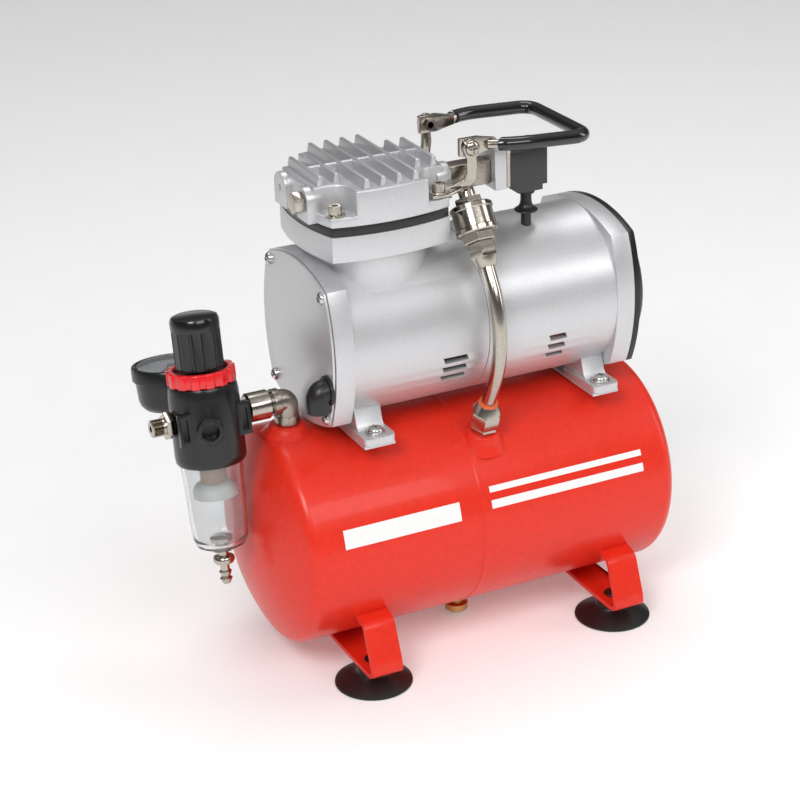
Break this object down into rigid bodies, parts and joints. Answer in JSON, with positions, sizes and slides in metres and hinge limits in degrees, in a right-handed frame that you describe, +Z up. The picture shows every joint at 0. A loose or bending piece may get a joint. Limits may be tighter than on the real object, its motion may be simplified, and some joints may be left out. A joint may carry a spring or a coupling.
{
  "type": "airbrush compressor",
  "caption": "Oil-less piston compressor on a horizontal red air tank, with a filter regulator, pressure gauge, pressure switch, folding handle and suction feet.",
  "frame": {"origin": "on the floor under the middle of the bounding box", "axes": "+X along the tank towards the fan end, +Z up, -Y towards the side with the discharge tube"},
  "size_m": [0.308, 0.149, 0.297],
  "materials": {
    "red_enamel": "glossy red enamel",
    "silver_casting": "silver-painted sand casting",
    "cover_sheet": "satin grey sheet",
    "nickel": "nickel plated",
    "steel": "machined steel",
    "brass": "turned brass",
    "black_plastic": "semi-gloss black",
    "grey_plastic": "matte charcoal",
    "red_plastic": "glossy red",
    "rubber": "satin black rubber",
    "vinyl": "glossy black sleeve",
    "clear_plastic": "clear moulding",
    "sintered_bronze": "porous bronze and plastic",
    "copper_windings": "wound copper on laminations"
  },
  "bodies": {
    "compressor": {"bearing_fan_side": "steel", "bearing_pump_side": "steel", "check_valve": "nickel", "cord_gland": "rubber", "crankcase_cover": "cover_sheet", "crankcase_housing": "silver_casting", "cylinder_head": "silver_casting", "cylinder_liner": "steel", "discharge_tube": "nickel", "fan_cover": "black_plastic", "filter_bowl": "clear_plastic", "filter_element": "sintered_bronze", "gauge_case": "black_plastic", "gauge_lens": "clear_plastic", "handle_pivot_front": "nickel", "handle_pivot_rear": "nickel", "handle_strap_front": "nickel", "handle_strap_rear": "nickel", "head_bolt_left_front": "nickel", "head_bolt_left_rear": "nickel", "head_bolt_right_front": "nickel", "head_bolt_right_rear": "nickel", "head_plug": "nickel", "inlet_nipple": "nickel", "leg_bracket_left": "red_enamel", "leg_bracket_right": "red_enamel", "lock_ring": "red_plastic", "manifold_bar": "nickel", "motor_housing": "silver_casting", "motor_saddle_left": "silver_casting", "motor_saddle_right": "silver_casting", "outlet_elbow": "nickel", "outlet_fitting": "nickel", "regulator_body": "black_plastic", "safety_valve_body": "brass", "stator_core": "copper_windings", "suction_foot_left_front": "rubber", "suction_foot_left_rear": "rubber", "suction_foot_right_front": "rubber", "suction_foot_right_rear": "rubber", "switch_block": "silver_casting", "switch_box": "grey_plastic", "switch_cable_sleeve": "rubber", "switch_plate": "nickel", "tank_shell": "red_enamel", "tube_nut_lower": "nickel", "tube_nut_upper": "nickel", "valve_plate": "black_plastic"},
    "drain_knob": {"tank_drain_knob": "brass"},
    "handle": {"handle_rod": "nickel", "handle_grip": "vinyl"},
    "shaft": {"rotor_shaft": "steel", "cooling_fan": "grey_plastic"},
    "piston": {"piston_rod": "silver_casting"},
    "knob_spindle": {"regulator_spindle": "brass"},
    "knob": {"regulator_knob": "black_plastic"},
    "button": {"switch_button": "red_plastic"},
    "pull_ring": {"safety_pull_ring": "steel"},
    "needle": {"gauge_needle": "black_plastic"},
    "bowl_drain": {"bowl_drain_valve": "nickel"}
  },
  "joints": [
    {"name": "handle_fold", "type": "hinge", "parent": "compressor", "child": "handle", "pos_m": [0.0273, 0, 0.2919], "axis": [0, -1, 0], "range_deg": [0, 100]},
    {"name": "knob_turn", "type": "hinge", "parent": "compressor", "child": "knob_spindle", "pos_m": [-0.1222, 0, 0.1575], "axis": [0, 0.1564, 0.9877], "continuous": true},
    {"name": "knob_pull", "type": "slide", "parent": "knob_spindle", "child": "knob", "axis": [0, 0.1564, 0.9877], "range_m": [0, 0.003]},
    {"name": "drain_turn", "type": "hinge", "parent": "compressor", "child": "drain_knob", "pos_m": [0.024, -0.006, 0.008], "axis": [0, 0, 1], "continuous": true},
    {"name": "button_press", "type": "slide", "parent": "compressor", "child": "button", "axis": [0, 0, -1], "range_m": [0, 0.002], "stiffness_N_per_m": 150, "springref_m": -0.002},
    {"name": "ring_pull", "type": "slide", "parent": "compressor", "child": "pull_ring", "axis": [1, 0, 0], "range_m": [0, 0.003], "stiffness_N_per_m": 300, "springref_m": -0.002},
    {"name": "needle_sweep", "type": "hinge", "parent": "compressor", "child": "needle", "pos_m": [-0.1222, 0.04958, 0.14965], "axis": [0, -0.1564, -0.9877], "range_deg": [0, 270], "stiffness_Nm_per_rad": 0.0002, "springref_deg": -5.73},
    {"name": "shaft_spin", "type": "hinge", "parent": "compressor", "child": "shaft", "pos_m": [0.024, 0, 0.1925], "axis": [1, 0, 0], "continuous": true},
    {"name": "rod_stroke", "type": "slide", "parent": "compressor", "child": "piston", "axis": [0, 0, 1], "range_m": [-0.005, 0.005]},
    {"name": "bowl_drain_push", "type": "slide", "parent": "compressor", "child": "bowl_drain", "axis": [0, 0.1564, 0.9877], "range_m": [0, 0.002], "stiffness_N_per_m": 150, "springref_m": -0.002}
  ]
}
